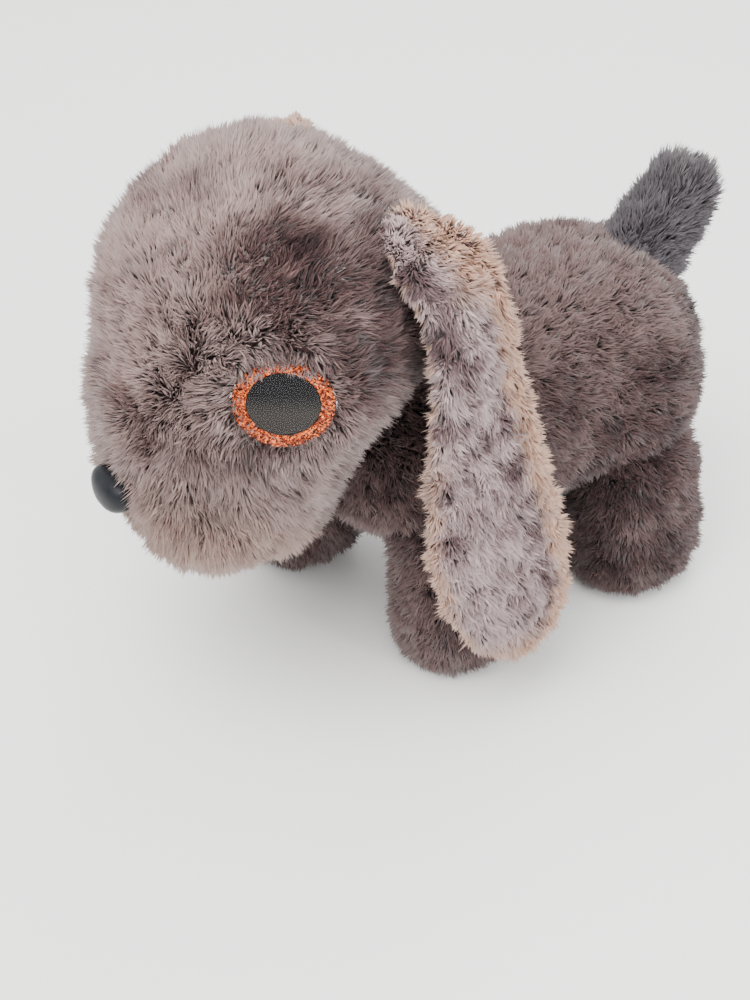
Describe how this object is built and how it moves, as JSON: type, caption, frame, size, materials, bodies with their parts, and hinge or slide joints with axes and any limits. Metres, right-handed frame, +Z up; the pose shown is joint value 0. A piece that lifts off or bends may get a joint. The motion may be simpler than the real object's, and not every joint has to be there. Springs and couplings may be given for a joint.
{
  "type": "interactive plush pet",
  "caption": "Standing plush puppy with floppy ears, clear glitter eyes and an upturned tail, over a battery-driven walking chassis.",
  "frame": {"origin": "centre of the bounding box in plan, at the soles' level", "axes": "+Z up, -Y towards the nose, +X towards the dog's own left"},
  "size_m": [0.1248, 0.2122, 0.167],
  "materials": {
    "plush_body": "short plush pile",
    "plush_head": "short plush pile, pale tipped",
    "plush_ear": "short plush pile, pale tipped",
    "stuffing": "polyester fibre",
    "eye_clear": "clear, polished",
    "eye_glitter": "copper glitter",
    "eye_black": "polished",
    "nose_black": "satin",
    "white_plastic": "moulded",
    "grey_plastic": "moulded",
    "black_plastic": "moulded",
    "steel": "bright",
    "brass": "turned",
    "battery_wrap": "printed sleeve, plain",
    "board_green": "lacquered board",
    "speaker_paper": "paper cone"
  },
  "bodies": {
    "torso": {"body_plush": "plush_body", "chassis_left_shell": "white_plastic", "chassis_right_shell": "white_plastic", "chassis_screw_1": "steel", "chassis_screw_2": "steel", "chassis_screw_3": "steel", "chassis_screw_4": "steel", "battery_1": "battery_wrap", "battery_2": "battery_wrap", "rear_contact_plate": "steel", "front_contact_plate": "steel", "circuit_board": "board_green", "speaker_frame": "steel", "speaker_cone": "speaker_paper", "motor": "steel", "front_hip_axle": "steel", "rear_hip_axle": "steel", "switch_body": "black_plastic", "neck_bracket": "grey_plastic", "neck_pin": "steel", "tail_bracket": "grey_plastic", "tail_pin": "steel"},
    "head": {"head_plush": "plush_head", "head_stuffing": "stuffing", "head_rocker": "grey_plastic", "eye_left_pupil": "eye_black", "eye_left_glitter_ring": "eye_glitter", "eye_left_dome": "eye_clear", "eye_left_washer": "white_plastic", "eye_right_pupil": "eye_black", "eye_right_glitter_ring": "eye_glitter", "eye_right_dome": "eye_clear", "eye_right_washer": "white_plastic", "nose": "nose_black", "nose_washer": "white_plastic"},
    "ear_left": {"ear_left": "plush_ear"},
    "ear_right": {"ear_right": "plush_ear"},
    "tail": {"tail_plush": "plush_body", "tail_lever": "grey_plastic"},
    "leg_front_left": {"leg_front_left_core": "grey_plastic", "leg_front_left_plush": "plush_body"},
    "leg_front_right": {"leg_front_right_core": "grey_plastic", "leg_front_right_plush": "plush_body"},
    "leg_rear_left": {"leg_rear_left_core": "grey_plastic", "leg_rear_left_plush": "plush_body"},
    "leg_rear_right": {"leg_rear_right_core": "grey_plastic", "leg_rear_right_plush": "plush_body"},
    "yoke_left": {"yoke_left": "grey_plastic"},
    "yoke_right": {"yoke_right": "grey_plastic"},
    "crankshaft": {"worm_wheel": "white_plastic", "cross_shaft": "steel", "crank_left": "grey_plastic", "crank_right": "grey_plastic"},
    "worm": {"motor_worm": "brass"},
    "battery_door": {"battery_door": "grey_plastic", "door_screw": "steel"},
    "switch": {"switch_slider": "white_plastic"},
    "button": {"back_button": "white_plastic"}
  },
  "joints": [
    {"name": "head_nod", "type": "hinge", "parent": "torso", "child": "head", "pos_m": [0, -0.03593, 0.101], "axis": [1, 0, 0], "range_deg": [-10, 8]},
    {"name": "ear_left_flap", "type": "hinge", "parent": "head", "child": "ear_left", "pos_m": [0.038, -0.02193, 0.151], "axis": [0, -1, 0], "range_deg": [0, 50]},
    {"name": "ear_right_flap", "type": "hinge", "parent": "head", "child": "ear_right", "pos_m": [-0.038, -0.02193, 0.151], "axis": [0, 1, 0], "range_deg": [0, 50]},
    {"name": "tail_wag", "type": "hinge", "parent": "torso", "child": "tail", "pos_m": [0, 0.07807, 0.086], "axis": [0, -0.848, 0.5299], "range_deg": [-20, 20]},
    {"name": "leg_front_left_swing", "type": "hinge", "parent": "torso", "child": "leg_front_left", "pos_m": [0.031, -0.00993, 0.044], "axis": [1, 0, 0], "range_deg": [-10, 10]},
    {"name": "leg_front_right_swing", "type": "hinge", "parent": "torso", "child": "leg_front_right", "pos_m": [-0.031, -0.00993, 0.044], "axis": [1, 0, 0], "range_deg": [-10, 10]},
    {"name": "leg_rear_left_swing", "type": "hinge", "parent": "torso", "child": "leg_rear_left", "pos_m": [0.031, 0.05907, 0.044], "axis": [1, 0, 0], "range_deg": [-10, 10]},
    {"name": "leg_rear_right_swing", "type": "hinge", "parent": "torso", "child": "leg_rear_right", "pos_m": [-0.031, 0.05907, 0.044], "axis": [1, 0, 0], "range_deg": [-10, 10]},
    {"name": "yoke_left_slide", "type": "slide", "parent": "torso", "child": "yoke_left", "axis": [0, 1, 0], "range_m": [-0.0057, 0.0057]},
    {"name": "yoke_right_slide", "type": "slide", "parent": "torso", "child": "yoke_right", "axis": [0, 1, 0], "range_m": [-0.0057, 0.0057]},
    {"name": "crank_spin", "type": "hinge", "parent": "torso", "child": "crankshaft", "pos_m": [0, 0.02557, 0.0752], "axis": [1, 0, 0], "continuous": true},
    {"name": "worm_spin", "type": "hinge", "parent": "torso", "child": "worm", "pos_m": [0, 0.02557, 0.084], "axis": [0, 1, 0], "continuous": true},
    {"name": "battery_door_off", "type": "slide", "parent": "torso", "child": "battery_door", "axis": [0, 0, -1], "range_m": [0, 0.02]},
    {"name": "switch_slide", "type": "slide", "parent": "torso", "child": "switch", "axis": [0, 1, 0], "range_m": [0, 0.003]},
    {"name": "back_button_press", "type": "slide", "parent": "torso", "child": "button", "axis": [0, 0, -1], "range_m": [0, 0.0018], "stiffness_N_per_m": 250, "springref_m": -0.0008}
  ],
  "couplings": [
    {"joint": "leg_rear_left_swing", "follows": "leg_front_left_swing", "ratio": 1},
    {"joint": "leg_front_right_swing", "follows": "leg_front_left_swing", "ratio": -1},
    {"joint": "leg_rear_right_swing", "follows": "leg_front_left_swing", "ratio": -1},
    {"joint": "yoke_left_slide", "follows": "leg_front_left_swing", "m_per_rad": -0.032},
    {"joint": "yoke_right_slide", "follows": "leg_front_left_swing", "m_per_rad": 0.032},
    {"joint": "worm_spin", "follows": "crank_spin", "ratio": 16}
  ]
}
